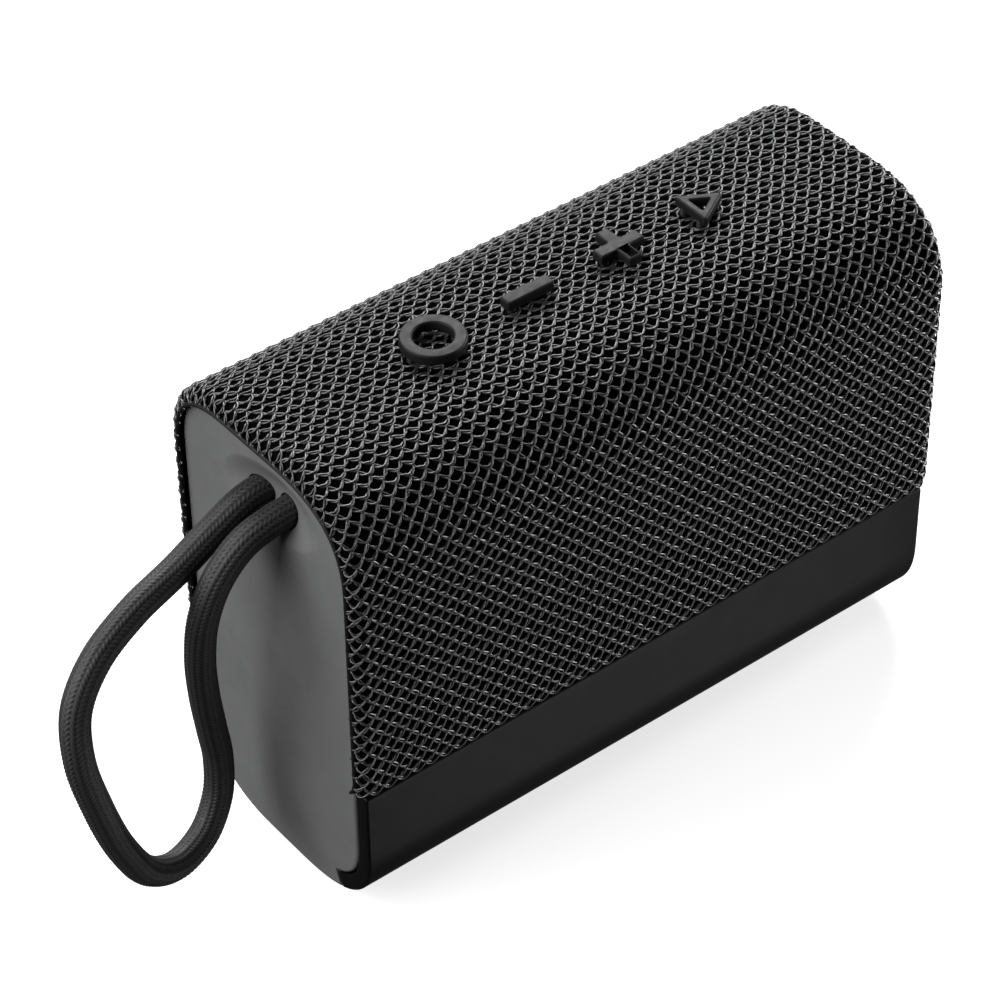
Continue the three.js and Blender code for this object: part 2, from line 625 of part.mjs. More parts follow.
// Driver, from the baffle inwards; its profiles are [radius, y] about its axis
function surroundProfile() {
  const { radius, y, roll, thick } = SURROUND;
  const arc = (reach, height, lift) => [0, 1, 2, 3, 4, 5, 6].map((i) => {
    const a = (Math.PI * i) / 6;
    return [radius - reach * Math.cos(a), y + lift - height * Math.sin(a)];
  });
  return [...arc(roll, roll, 0), ...arc(roll - thick * 0.5, roll - thick * 0.2, thick).reverse()];
}

function makeDriver() {
  add('driver_gasket', turned([[15.8, -15.7], [16.8, -15.7], [16.8, -14.9], [15.8, -14.9]]), foam);
  const basket = turned([
    [16.5, -14.6], [DRIVER.flange, -14.6], [DRIVER.flange, -13.4], [17.2, -13.4],
    [12.6, -3.5], [9, -3.5], [9, -4.3], [11.9, -4.3], [16.5, -13.6],
  ], 32);
  const [x, z] = [DRIVER.x, DRIVER.z];
  const windows = [
    box(x - 25, x + 25, -11.8, -5, z - 4.5, z + 4.5),
    box(x - 4.5, x + 4.5, -11.8, -5, z - 25, z + 25),
  ];
  const holes = DRIVER_SCREWS.map(([sx, sz]) => rodY(sx, sz, SCREW.clearance, -16, -12, 10));
  add('driver_basket', cut(basket, [...windows, ...holes]), darkSteel);
  add('driver_surround', turned(surroundProfile()), rubber);
  add('driver_cone', turned([[13.3, -13.4], [13.3, -12.8], [6.8, -8.3], [6.8, -8.9]]), paper);
  add('dust_cap', turned([
    [0, -11.6], [3.5, -11.1], [6.0, -9.6], [6.0, -9.1], [3.4, -10.6], [0, -11.1],
  ]), paper);
  add('voice_coil', turned([[5.9, -8.6], [6.5, -8.6], [6.5, -1.6], [5.9, -1.6]]), copper);
  add('spider', turned([
    [6.8, -6], [8.5, -6.5], [10.4, -5.7], [12.4, -6], [12.4, -5.6], [10.4, -5.3], [8.5, -6.1], [6.8, -5.6],
  ]), spiderCloth);
  add('top_plate', turned([[7, -3.2], [12, -3.2], [12, -1.2], [7, -1.2]]), steel);
  add('magnet', turned([[8, -0.9], [12.5, -0.9], [12.5, 3.1], [8, 3.1]]), ferrite);
  add('yoke', turned([[0, -3.2], [5.3, -3.2], [5.3, 3.4], [12.5, 3.4], [12.5, 5.2], [0, 5.2]]), steel);
}

// Passive radiator in the back wall.
// A ring through sections that close on themselves
function ringThrough(sections) {
  const count = sections[0].length;
  const vertices = sections.flat();
  const triangles = [];
  for (let i = 0; i < sections.length; i += 1) {
    const next = ((i + 1) % sections.length) * count;
    for (let j = 0; j < count; j += 1) {
      const k = (j + 1) % count;
      triangles.push([i * count + j, next + j, next + k], [i * count + j, next + k, i * count + k]);
    }
  }
  return build(vertices, triangles);
}

function makeRadiator() {
  const { halfX, halfZ, rim, plateX, plateZ } = RADIATOR;
  const frame = racetrackPlate(halfX, halfZ, 13.2, WALL_Y - GAP);
  add('radiator_frame', cut(frame, [racetrackPlate(halfX - rim, halfZ - rim, 12, WALL_Y)]), innerPlastic);
  const profile = [[21.7, 14.2], [19.9, 15.4], [18.1, 14.2], [18.1, 14.7], [19.9, 15.9], [21.7, 14.7]];
  const sections = profile.map(([reach, y]) => racetrack(reach, reach - (halfX - halfZ), y));
  add('radiator_surround', ringThrough(sections), rubber);
  add('radiator_plate', racetrackPlate(plateX, plateZ, 13.9, 15.5), darkSteel);
}

// Screws, heads towards the inside
function screw(length) {
  const { radius, headRadius, headHeight } = SCREW;
  const end = length + headHeight;
  const profile = [[0, 0], [radius, 0], [radius, length], [headRadius, length], [headRadius, end], [0, end]];
  return surface(solid(new THREE.LatheGeometry(profile.map(([r, y]) => new THREE.Vector2(r, y)), 10)));
}

function makeScrews() {
  DRIVER_SCREWS.forEach(([x, z], i) => {
    add(`driver_screw_${i + 1}`, screw(3.6).translate(x, -16.8, z), steel);
  });
  BUTTON_BOARD.screws.forEach((x, i) => {
    const geometry = screw(4).rotateX(-Math.PI / 2).translate(x, 0, BUTTON_BOARD.low - 0.2 + 4);
    add(`button_board_screw_${i + 1}`, geometry, steel);
  });
  BOARD_SCREWS.forEach(([x, y], i) => {
    const geometry = screw(5).rotateX(Math.PI / 2).translate(x, y, MAIN_BOARD.high + 0.2 - 5);
    add(`main_board_screw_${i + 1}`, geometry, steel);
  });
}

// Strap: from the front leg's end inside the cap, round the loop, to the back leg's end
const STRAP_ROUTE = [
  [STRAP.innerX, -STRAP.exitY, STRAP.exitZ],
  [-48.5, -2.9, 66.2],
  [-53.0, -2.9, 66.0],
  [-58.0, -2.7, 64.4],
  [-62.0, -2.3, 60.2],
  [-64.3, -1.3, 53.4],
  [-64.6, 0.0, 45.3],
  [-63.6, 1.4, 36.6],
  [-62.1, 2.7, 28.3],
  [-61.0, 3.4, 20.9],
  [-61.9, 3.0, 14.2],
  [-65.4, 1.9, 9.4],
  [-70.9, 0.4, 8.2],
  [-76.5, -1.1, 11.6],
  [-81.3, -2.5, 20.4],
  [-84.9, -3.2, 31.9],
  [-86.5, -2.7, 41.6],
  [-85.2, -1.2, 48.8],
  [-80.8, 0.0, 54.4],
  [-73.8, 1.3, 58.0],
  [-65.7, 2.3, 60.5],
  [-59.2, 2.8, 63.4],
  [-53.0, 2.9, 66.1],
  [-48.5, 2.9, 66.2],
  [STRAP.innerX, STRAP.exitY, STRAP.exitZ],
];

function makeStrap() {
  const points = STRAP_ROUTE.map((p) => new THREE.Vector3(...p));
  const curve = new THREE.CatmullRomCurve3(points, false, 'centripetal');
  const section = new THREE.Shape().absarc(0, 0, STRAP.radius, 0, Math.PI * 2);
  const options = { steps: 44, bevelEnabled: false, extrudePath: curve, curveSegments: 5 };
  add('strap_loop', new THREE.ExtrudeGeometry(section, options), cordBlack);
  const { x0, x1, halfY, below, above } = ANCHOR;
  const block = box(x0, x1, -halfY, halfY, STRAP.exitZ - below, STRAP.exitZ + above);
  const holes = strapHoles(x0 - 0.8, STRAP.innerX + 0.4, STRAP.anchorHole);
  add('strap_anchor', cut(block, holes), innerPlastic);
}

makeSleeve();
makeGrille();
makeBand();
makeTray();
makeCaps();
makeCabinet();
makeFeet();
makePort();
for (const [key, x] of Object.entries(KEYS)) {
  makeKey(key, x);
  makeSwitch(key, x);
}
makeButtonBoard();
makeElectronics();
makeBattery();
makeLeads();
makeDriver();
makeRadiator();
makeScrews();
makeStrap();

export default group;
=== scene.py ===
"""Looks for the shower speaker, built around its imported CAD.

Metres, in the CAD's frame: X runs along the body, -Y is the front, Z = 0 is the surface it stands on.
Places on the body are (along, around, depth): along X, around the outline from the middle of the
bottom by way of the front, and depth inwards from the outline.
"""

import json
import math

import bmesh
import bpy
import numpy as np
from mathutils import Matrix, Vector


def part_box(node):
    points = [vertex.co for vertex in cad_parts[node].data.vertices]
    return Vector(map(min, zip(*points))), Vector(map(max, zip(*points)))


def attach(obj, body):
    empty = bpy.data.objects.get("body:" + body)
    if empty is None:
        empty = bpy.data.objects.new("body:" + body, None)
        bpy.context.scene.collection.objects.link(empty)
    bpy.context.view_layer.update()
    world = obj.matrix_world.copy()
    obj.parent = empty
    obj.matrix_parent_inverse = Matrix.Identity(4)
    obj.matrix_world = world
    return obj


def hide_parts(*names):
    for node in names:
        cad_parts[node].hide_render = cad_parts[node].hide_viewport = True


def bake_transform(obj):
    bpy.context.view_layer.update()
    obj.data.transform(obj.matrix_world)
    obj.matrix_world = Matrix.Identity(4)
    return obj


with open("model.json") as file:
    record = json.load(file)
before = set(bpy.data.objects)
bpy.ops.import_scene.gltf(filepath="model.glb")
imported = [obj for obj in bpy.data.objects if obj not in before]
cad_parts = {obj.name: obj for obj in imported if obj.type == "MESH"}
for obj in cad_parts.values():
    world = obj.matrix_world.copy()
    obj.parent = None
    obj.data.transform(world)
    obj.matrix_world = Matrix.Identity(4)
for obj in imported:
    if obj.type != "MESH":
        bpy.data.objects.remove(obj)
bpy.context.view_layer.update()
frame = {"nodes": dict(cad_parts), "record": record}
MM = 0.001
NODES = frame["nodes"]

# ---------------------------------------------------------------- driving sizes

BAND_LOW, BAND_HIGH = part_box("front_band")
TRAY_LOW, TRAY_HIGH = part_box("bottom_tray")
SLEEVE_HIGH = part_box("knit_sleeve")[1]
HALF_LENGTH = BAND_HIGH.x
HALF_DEPTH = -BAND_LOW.y
BASE_Z = TRAY_LOW.z
TOP_Z = SLEEVE_HIGH.z
SHELL_HALF = TRAY_HIGH.x
GAP = 0.3 * MM

CORNER_POWER = 2.465
FRONT_BOTTOM = (17.5 * MM, 13.5 * MM)
FRONT_TOP = (16.7 * MM, 16.2 * MM)
BACK_TOP = (13.9 * MM, 14.3 * MM)
BACK_BOTTOM = (17.4 * MM, 18.3 * MM)

ROLL = 2.2 * MM
FABRIC_STAND = 0.8 * MM
FABRIC_STAND_ENDS = 1.1 * MM
FABRIC_EASE = 3 * MM
ROLL_START = HALF_LENGTH + FABRIC_STAND_ENDS - ROLL
SHELL_THICKNESS = 2.6 * MM
SHELL_EDGE = 0.4 * MM
CAP_INSET = 2.5 * MM
CAP_BAND_INSET = 2.9 * MM
CAP_FULLNESS = 1.0 * MM
CAP_THICKNESS = 2.1 * MM
CAP_SPIGOT_INSET = 5.9 * MM
CAP_DEPTH = 6 * MM
BAND_FOOT_Y = -13.5 * MM

STRAP_RADIUS = 2.25 * MM
STRAP_EXIT_Y = 2.9 * MM
STRAP_EXIT_Z = 66.2 * MM

# ---------------------------------------------------------------- camera

CAMERA_LENS = 131.17
CAMERA_SENSOR = 36
CAMERA_PLACE = Vector((-252.887, -309.569, 389.232)) * MM
CAMERA_RIGHT = Vector((0.78455065, -0.619948, -0.00947363))
CAMERA_DOWN = Vector((-0.41471421, -0.51327637, -0.75140582))
CAMERA_FORWARD = Vector((0.46101188, 0.59346952, -0.65970432))


def add_camera():
    data = bpy.data.cameras.new("camera")
    data.lens = CAMERA_LENS
    data.sensor_width = CAMERA_SENSOR
    data.clip_start = 0.01
    data.clip_end = 20
    camera = bpy.data.objects.new("camera", data)
    bpy.context.scene.collection.objects.link(camera)
    turn = Matrix((CAMERA_RIGHT, -CAMERA_DOWN, -CAMERA_FORWARD)).transposed().to_4x4()
    camera.matrix_world = Matrix.Translation(CAMERA_PLACE) @ turn
    bpy.context.scene.camera = camera


# ---------------------------------------------------------------- outline of the body


def corner(side_y, side_z, radii, start, count=120):
    """A superelliptic quarter between two flats, from the angle start and clockwise."""
    angle = start - np.linspace(0, math.pi / 2, count)
    c, s = np.cos(angle), np.sin(angle)
    y = side_y * (HALF_DEPTH - radii[0]) + radii[0] * np.sign(c) * np.abs(c) ** (2 / CORNER_POWER)
    middle = BASE_Z + radii[1] if side_z < 0 else TOP_Z - radii[1]
    z = middle + radii[1] * np.sign(s) * np.abs(s) ** (2 / CORNER_POWER)
    return np.stack([y, z], 1)


def outline_points():
    start = np.array([[0, BASE_Z]])
    return np.concatenate([
        start,
        corner(-1, -1, FRONT_BOTTOM, -math.pi / 2),
        corner(-1, 1, FRONT_TOP, math.pi),
        corner(1, 1, BACK_TOP, math.pi / 2),
        corner(1, -1, BACK_BOTTOM, 0),
        start,
    ])


OUTLINE = outline_points()
OUTLINE_AROUND = np.concatenate([[0], np.cumsum(np.linalg.norm(np.diff(OUTLINE, axis=0), axis=1))])
PERIMETER = OUTLINE_AROUND[-1]


def on_outline(around):
    turn = np.mod(around, PERIMETER)
    return np.stack([np.interp(turn, OUTLINE_AROUND, OUTLINE[:, i]) for i in (0, 1)], -1)


def outward(around):
    """The outline's outward direction, in (y, z)."""
    tangent = on_outline(around + 0.8 * MM) - on_outline(around - 0.8 * MM)
    tangent /= np.linalg.norm(tangent, axis=-1, keepdims=True)
    return np.stack([-tangent[..., 1], tangent[..., 0]], -1)


def placed(along, around, depth):
    """Points in space from places on the body; the three arrays broadcast together."""
    along, around, depth = np.broadcast_arrays(along, around, depth)
    flat = on_outline(around) - outward(around) * depth[..., None]
    return np.concatenate([along[..., None], flat], -1)


def walk_until(test):
    around = np.arange(0, PERIMETER, 0.02 * MM)
    y, z = on_outline(around).T
    return float(around[np.argmax(test(y, z))])


BAND_FOOT = walk_until(lambda y, z: y <= BAND_FOOT_Y)
BAND_TOP = walk_until(lambda y, z: z >= BAND_HIGH.z)
TOP_MIDDLE = walk_until(lambda y, z: (z > TOP_Z - MM) & (y >= 0))
TRAY_TOP = walk_until(lambda y, z: (y > HALF_DEPTH - MM) & (z <= TRAY_HIGH.z + GAP))

# ---------------------------------------------------------------- meshes


def new_object(name, vertices, faces, smooth=True):
    mesh = bpy.data.meshes.new(name)
    mesh.from_pydata(np.asarray(vertices).tolist(), [], [list(map(int, f)) for f in faces])
    mesh.update()
    mesh.polygons.foreach_set("use_smooth", [smooth] * len(mesh.polygons))
    made = bpy.data.objects.new(name, mesh)
    bpy.context.scene.collection.objects.link(made)
    return made


def grid_faces(rows, columns, offset=0, close_rows=False, close_columns=False):
    """Quads over a grid of rows x columns vertices, as an array."""
    r = np.arange(rows if close_rows else rows - 1)
    c = np.arange(columns if close_columns else columns - 1)
    r0, c0 = np.meshgrid(r, c, indexing="ij")
    r1, c1 = (r0 + 1) % rows, (c0 + 1) % columns
    corners = [r0 * columns + c0, r1 * columns + c0, r1 * columns + c1, r0 * columns + c1]
    return np.stack(corners, -1).reshape(-1, 4) + offset


def face_outwards(made):
    work = bmesh.new()
    work.from_mesh(made.data)
    bmesh.ops.recalc_face_normals(work, faces=work.faces)
    work.to_mesh(made.data)
    work.free()
    return made


def ringed(name, rings, closed_ends=True):
    """A body through equal rings of points, with flat ends."""
    rings = np.asarray(rings)
    count, sides = rings.shape[:2]
    faces = list(grid_faces(count, sides, close_columns=True))
    if closed_ends:
        faces.append(np.arange(sides))
        faces.append(np.arange(sides)[::-1] + (count - 1) * sides)
    return face_outwards(new_object(name, rings.reshape(-1, 3), faces))


def shade_by_angle(made, degrees=35):
    """Smooth shading that keeps edges sharper than this."""
    work = bmesh.new()
    work.from_mesh(made.data)
    limit = math.radians(degrees)
    for edge in work.edges:
        edge.smooth = len(edge.link_faces) == 2 and edge.calc_face_angle(0) < limit
    for face in work.faces:
        face.smooth = True
    work.to_mesh(made.data)
    work.free()
    return made


def cut_away(made, tools):
    """Takes the tools' shapes out of made, and removes them."""
    for tool in tools:
        step = made.modifiers.new("cut", "BOOLEAN")
        step.operation = "DIFFERENCE"
        step.solver = "EXACT"
        step.object = tool
    bpy.context.view_layer.update()
    graph = bpy.context.evaluated_depsgraph_get()
    mesh = bpy.data.meshes.new_from_object(made.evaluated_get(graph))
    made.modifiers.clear()
    made.data = mesh
    for tool in tools:
        bpy.data.objects.remove(tool)
    return shade_by_angle(made)


def joined(name, parts):
    """One object from several, their meshes side by side."""
    work = bmesh.new()
    for part in parts:
        part.data.transform(part.matrix_world)
        work.from_mesh(part.data)
    mesh = bpy.data.meshes.new(name)
    work.to_mesh(mesh)
    work.free()
    for part in parts:
        bpy.data.objects.remove(part)
    made = bpy.data.objects.new(name, mesh)
    bpy.context.scene.collection.objects.link(made)
    return made


def rod(name, start, end, radius, sides=48):
    start, end = Vector(start), Vector(end)
    axis = (end - start).normalized()
    side = axis.orthogonal().normalized()
    other = axis.cross(side)
    angles = np.linspace(0, 2 * math.pi, sides, endpoint=False)
    ring = [side * radius * math.cos(a) + other * radius * math.sin(a) for a in angles]
    return ringed(name, [[tuple(p + r) for r in ring] for p in (start, end)])


def rounded_section(width, height, radius, arc=6):
    """A rectangle with rounded corners, centred, as [w, h] points."""
    points = []
    for quarter, (sw, sh) in enumerate([(1, 1), (-1, 1), (-1, -1), (1, -1)]):
        for i in range(arc + 1):
            a = math.pi / 2 * (quarter + i / arc)
            points.append([
                sw * (width / 2 - radius) + radius * math.cos(a),
                sh * (height / 2 - radius) + radius * math.sin(a),
            ])
    return np.array(points)


def filled(points, spacing):
    """The closed run of points with more added, so that no two are further apart than spacing."""
    out = []
    for a, b in zip(points, np.roll(points, -1, axis=0)):
        count = max(1, int(np.ceil(np.linalg.norm(b - a) / spacing)))
        out.extend(a + (b - a) * i / count for i in range(count))
    return np.array(out)


def panel(name, x_range, around_range, outer, inner, radius, spacing=0.8 * MM):
    """A shell that follows the outline, with rounded edges all round."""
    width = around_range[1] - around_range[0]
    section = filled(rounded_section(width, inner - outer, radius), spacing)
    middle = np.array([sum(around_range) / 2, (outer + inner) / 2])
    half = np.array([width / 2, (inner - outer) / 2])
    rings = []
    turns = np.linspace(0, math.pi / 2, 6)
    ends = [(radius * (1 - math.sin(t)), radius * (1 - math.cos(t))) for t in turns]
    start = [(x_range[0] + back, shrink) for shrink, back in ends]
    end = [(x_range[1] - back, shrink) for shrink, back in reversed(ends)]
    between = np.linspace(start[-1][0], end[0][0], 12)[1:-1]
    for x, shrink in [*start, *((x, 0) for x in between), *end]:
        scaled = section * (half - shrink) / half
        rings.append(placed(x, middle[0] + scaled[:, 0], middle[1] + scaled[:, 1]))
    return shade_by_angle(ringed(name, rings), 50)


# ---------------------------------------------------------------- materials


class Finish:
    """A Principled material with short calls for the nodes that vary it."""

    def __init__(self, name, color, roughness, metallic=0.0, specular=0.5):
        self.material = bpy.data.materials.new(name)
        self.material.use_nodes = True
        self.nodes = self.material.node_tree.nodes
        self.links = self.material.node_tree.links
        self.shader = self.nodes["Principled BSDF"]
        self.shader.inputs["Base Color"].default_value = (*color, 1)
        self.shader.inputs["Roughness"].default_value = roughness
        self.shader.inputs["Metallic"].default_value = metallic
        self.shader.inputs["Specular IOR Level"].default_value = specular
        self.place = self.nodes.new("ShaderNodeTexCoord").outputs["Object"]

    def noise(self, scale, detail=4, stretch=None):
        node = self.nodes.new("ShaderNodeTexNoise")
        node.inputs["Scale"].default_value = scale
        node.inputs["Detail"].default_value = detail
        self.links.new(self.stretched(stretch), node.inputs["Vector"])
        return node.outputs["Fac"]

    def cells(self, scale, stretch=None):
        node = self.nodes.new("ShaderNodeTexVoronoi")
        node.inputs["Scale"].default_value = scale
        self.links.new(self.stretched(stretch), node.inputs["Vector"])
        return node.outputs["Distance"]

    def waves(self, scale, direction="X", distortion=0.0):
        node = self.nodes.new("ShaderNodeTexWave")
        node.bands_direction = direction
        node.inputs["Scale"].default_value = scale
        node.inputs["Distortion"].default_value = distortion
        self.links.new(self.place, node.inputs["Vector"])
        return node.outputs["Fac"]

    def own(self, name):
        """A value that the mesh keeps at each of its points."""
        node = self.nodes.new("ShaderNodeAttribute")
        node.attribute_name = name
        return node.outputs["Fac"]

    def stretched(self, stretch):
        if stretch is None:
            return self.place
        node = self.nodes.new("ShaderNodeMapping")
        node.inputs["Scale"].default_value = stretch
        self.links.new(self.place, node.inputs["Vector"])
        return node.outputs["Vector"]

    def spread(self, value, low, high, start=0.3, end=0.7):
        node = self.nodes.new("ShaderNodeMapRange")
        node.inputs["From Min"].default_value = start
        node.inputs["From Max"].default_value = end
        node.inputs["To Min"].default_value = low
        node.inputs["To Max"].default_value = high
        self.links.new(value, node.inputs["Value"])
        return node.outputs["Result"]

    def color(self, value, dark, light, start=0.3, end=0.7):
        node = self.nodes.new("ShaderNodeValToRGB")
        node.color_ramp.elements[0].position = start
        node.color_ramp.elements[0].color = (*dark, 1)
        node.color_ramp.elements[1].position = end
        node.color_ramp.elements[1].color = (*light, 1)
        self.links.new(value, node.inputs["Fac"])
        self.links.new(node.outputs["Color"], self.shader.inputs["Base Color"])
        return self

    def rough(self, value, low, high):
        self.links.new(self.spread(value, low, high), self.shader.inputs["Roughness"])
        return self

    def bump(self, value, strength, distance):
        node = self.nodes.new("ShaderNodeBump")
        node.inputs["Strength"].default_value = strength
        node.inputs["Distance"].default_value = distance
        self.links.new(value, node.inputs["Height"])
        normal = self.shader.inputs["Normal"]
        if normal.is_linked:
            self.links.new(normal.links[0].from_socket, node.inputs["Normal"])
        self.links.new(node.outputs["Normal"], normal)
        return self

    def sheen(self, weight, roughness):
        self.shader.inputs["Sheen Weight"].default_value = weight
        self.shader.inputs["Sheen Roughness"].default_value = roughness
        return self


def thread_finish():
    made = Finish("knit_thread", (0.02, 0.021, 0.022), 0.4, specular=0.9)
    made.color(made.noise(700), (0.010, 0.0103, 0.0106), (0.024, 0.0246, 0.0252))
    made.rough(made.noise(2500), 0.37, 0.5)
    return made.bump(made.noise(14000, 2, (0.25, 1, 1)), 0.5, 0.03 * MM)


def shade_backing_finish():
    # Painted shade: this sheet behind the knit is near black, blacker than real plastic, and stands in for
    # the shade seen through the knit's holes.
    made = Finish("knit_backing", (0.001, 0.001, 0.0011), 0.95, specular=0.02)
    made.color(made.noise(1500), (0.0006, 0.0006, 0.0007), (0.0016, 0.0016, 0.0017))
    return made.bump(made.cells(2600), 0.6, 0.08 * MM)


def cap_finish():
    made = Finish("cap_plastic", (0.07, 0.071, 0.073), 0.55)
    made.color(made.noise(90), (0.078, 0.079, 0.080), (0.090, 0.091, 0.092))
    made.rough(made.noise(400), 0.5, 0.6)
    made.bump(made.noise(6500, 3), 0.35, 0.03 * MM)
    return made.bump(made.cells(3800), 0.25, 0.02 * MM)


def band_finish():
    made = Finish("band_plastic", (0.003, 0.0032, 0.003), 0.36, specular=0.08)
    made.color(made.noise(60), (0.0016, 0.0018, 0.0017), (0.0026, 0.0029, 0.0027))
    made.rough(made.noise(300), 0.36, 0.41)
    return made.bump(made.noise(9000, 2), 0.15, 0.015 * MM)


def inner_plastic_finish():
    made = Finish("inner_plastic", (0.018, 0.019, 0.02), 0.5)
    made.rough(made.noise(500), 0.45, 0.6)
    return made.bump(made.noise(5000), 0.25, 0.03 * MM)


def rubber_finish(name, tone, roughness, specular=0.5):
    made = Finish(name, (tone, tone * 1.02, tone * 1.03), roughness, specular=specular)
    made.color(made.noise(250), (tone * 0.85,) * 3, (tone * 1.15,) * 3)
    made.rough(made.noise(900), roughness - 0.05, roughness + 0.07)
    return made.bump(made.noise(7000, 2), 0.2, 0.02 * MM)


def cord_finish():
    made = Finish("strap_cord", (0.022, 0.0225, 0.024), 0.7, specular=0.35)
    # Painted shade: the braid's grooves are coloured near black by strand height, standing in for the
    # shade between the strands.
    made.color(made.own("strand_height_shade"), (0.0002, 0.0002, 0.0002), (0.022, 0.0224, 0.0229), 0.6, 1)
    made.rough(made.noise(1500), 0.5, 0.65)
    made.bump(made.noise(16000, 2), 0.6, 0.03 * MM)
    return made.sheen(0.02, 0.35)


def metal_finish(name, color, roughness):
    made = Finish(name, color, roughness, metallic=1)
    made.rough(made.noise(900, 3, (1, 12, 1)), roughness - 0.08, roughness + 0.12)
    return made.bump(made.noise(4000, 2, (1, 10, 1)), 0.12, 0.01 * MM)


def board_finish():
    made = Finish("circuit_board", (0.006, 0.05, 0.022), 0.35)
    made.color(made.waves(420, "DIAGONAL", 6), (0.004, 0.036, 0.016), (0.010, 0.075, 0.034))
    return made.bump(made.waves(420, "DIAGONAL", 6), 0.2, 0.02 * MM)


def cloth_finish():
    made = Finish("spider_cloth", (0.32, 0.17, 0.05), 0.9)
    made.color(made.cells(2200), (0.22, 0.11, 0.03), (0.42, 0.24, 0.08))
    return made.bump(made.cells(2200), 0.6, 0.1 * MM).sheen(0.3, 0.5)


def paper_finish():
    made = Finish("cone_paper", (0.016, 0.016, 0.018), 0.85)
    made.color(made.noise(1800), (0.010, 0.010, 0.011), (0.026, 0.026, 0.028))
    return made.bump(made.noise(3000), 0.6, 0.08 * MM)


def foam_finish():
    made = Finish("foam", (0.03, 0.03, 0.032), 0.95)
    made.color(made.cells(1800), (0.008, 0.008, 0.008), (0.045, 0.045, 0.048), 0.1, 0.5)
    return made.bump(made.cells(1800), 0.9, 0.2 * MM)


def wrap_finish():
    made = Finish("cell_wrap", (0.05, 0.16, 0.42), 0.35)
    made.color(made.noise(120), (0.04, 0.13, 0.36), (0.06, 0.18, 0.46))
    return made.bump(made.noise(500), 0.15, 0.05 * MM)


def lead_finish():
    made = Finish("lead_insulation", (0.30, 0.012, 0.012), 0.4)
    made.color(made.noise(600), (0.24, 0.010, 0.010), (0.34, 0.016, 0.016))
    return made.bump(made.noise(2500), 0.1, 0.02 * MM)


def make_finishes():
    return {
        "knit_fabric": thread_finish().material,
        "knit_backing": shade_backing_finish().material,
        "knit_hem": rubber_finish("knit_hem", 0.003, 0.55, 0.2).material,
        "cap_plastic": cap_finish().material,
        "band_plastic": band_finish().material,
        "inner_plastic": inner_plastic_finish().material,
        "soft_rubber": rubber_finish("soft_rubber", 0.014, 0.7).material,
        "key_rubber": rubber_finish("key_rubber", 0.006, 0.5, 0.09).material,
        "strap_cord": cord_finish().material,
        "steel": metal_finish("steel", (0.5, 0.51, 0.53), 0.3).material,
        "dark_steel": metal_finish("dark_steel", (0.06, 0.062, 0.066), 0.4).material,
        "copper": metal_finish("copper", (0.62, 0.25, 0.10), 0.35).material,
        "ferrite": rubber_finish("ferrite", 0.022, 0.6).material,
        "circuit_board": board_finish().material,
        "spider_cloth": cloth_finish().material,
        "cone_paper": paper_finish().material,
        "foam": foam_finish().material,
        "cell_wrap": wrap_finish().material,
        "lead_insulation": lead_finish().material,
    }


FINISHES = make_finishes()


def dress(made, slot, body="housing", replaces=(), material=None):
    """Gives a piece its finish and the body it rides on, and hides the CAD nodes it stands for."""
    made.data.materials.clear()
    made.data.materials.append(FINISHES[material or slot])
    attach(made, body)
    if replaces:
        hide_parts(*replaces)
    return made


def dress_cad_nodes():
    for part in frame["record"]["subparts"]:
        for place in NODES[part["node"]].material_slots:
            place.material = FINISHES[part["material_slot"]]


# ---------------------------------------------------------------- strap

STRAP_ROUTE = [
    (-43.6, -2.9, 66.2), (-48.5, -2.9, 66.2), (-53.0, -2.9, 66.0), (-58.0, -2.7, 64.4),
    (-62.0, -2.3, 60.2), (-64.3, -1.3, 53.4), (-64.6, 0.0, 45.3), (-63.6, 1.4, 36.6),
    (-62.1, 2.7, 28.3), (-61.0, 3.4, 20.9), (-61.9, 3.0, 14.2), (-65.4, 1.9, 9.4),
    (-70.9, 0.4, 8.2), (-76.5, -1.1, 11.6), (-81.3, -2.5, 20.4), (-84.9, -3.2, 31.9),
    (-86.5, -2.7, 41.6), (-85.2, -1.2, 48.8), (-80.8, 0.0, 54.4), (-73.8, 1.3, 58.0),
    (-65.7, 2.3, 60.5), (-59.2, 2.8, 63.4), (-53.0, 2.9, 66.1), (-48.5, 2.9, 66.2),
    (-43.6, 2.9, 66.2),
]
BRAID_COLUMNS = 16
BRAID_LEAD = 0.7 * MM
BRAID_SLANT = 1.2
BRAID_RELIEF = 0.32 * MM
BRAID_SIDES = 80
BRAID_STEP = BRAID_LEAD / 5


def smooth_line(points, per_span=40):
    """A centripetal Catmull-Rom curve through the points."""
    p = np.asarray(points, float)
    p = np.concatenate([[2 * p[0] - p[1]], p, [2 * p[-1] - p[-2]]])
    out = []
    for a, b, c, d in zip(p, p[1:], p[2:], p[3:]):
        t0, t1, t2 = (math.sqrt(np.linalg.norm(v)) for v in (b - a, c - b, d - c))
        m1 = t1 * ((b - a) / t0 - (c - a) / (t0 + t1) + (c - b) / t1)
        m2 = t1 * ((c - b) / t1 - (d - b) / (t1 + t2) + (d - c) / t2)
        t = np.linspace(0, 1, per_span, endpoint=False)[:, None]
        curve = (2 * t**3 - 3 * t**2 + 1) * b + (t**3 - 2 * t**2 + t) * m1
        out.append(curve + (3 * t**2 - 2 * t**3) * c + (t**3 - t**2) * m2)
    return np.concatenate([*out, [p[-2]]])


def even_line(points, step):
    lengths = np.concatenate([[0], np.cumsum(np.linalg.norm(np.diff(points, axis=0), axis=1))])
    count = int(round(lengths[-1] / step))
    at = np.linspace(0, lengths[-1], count + 1)
    return at, np.stack([np.interp(at, lengths, points[:, i]) for i in range(3)], 1)


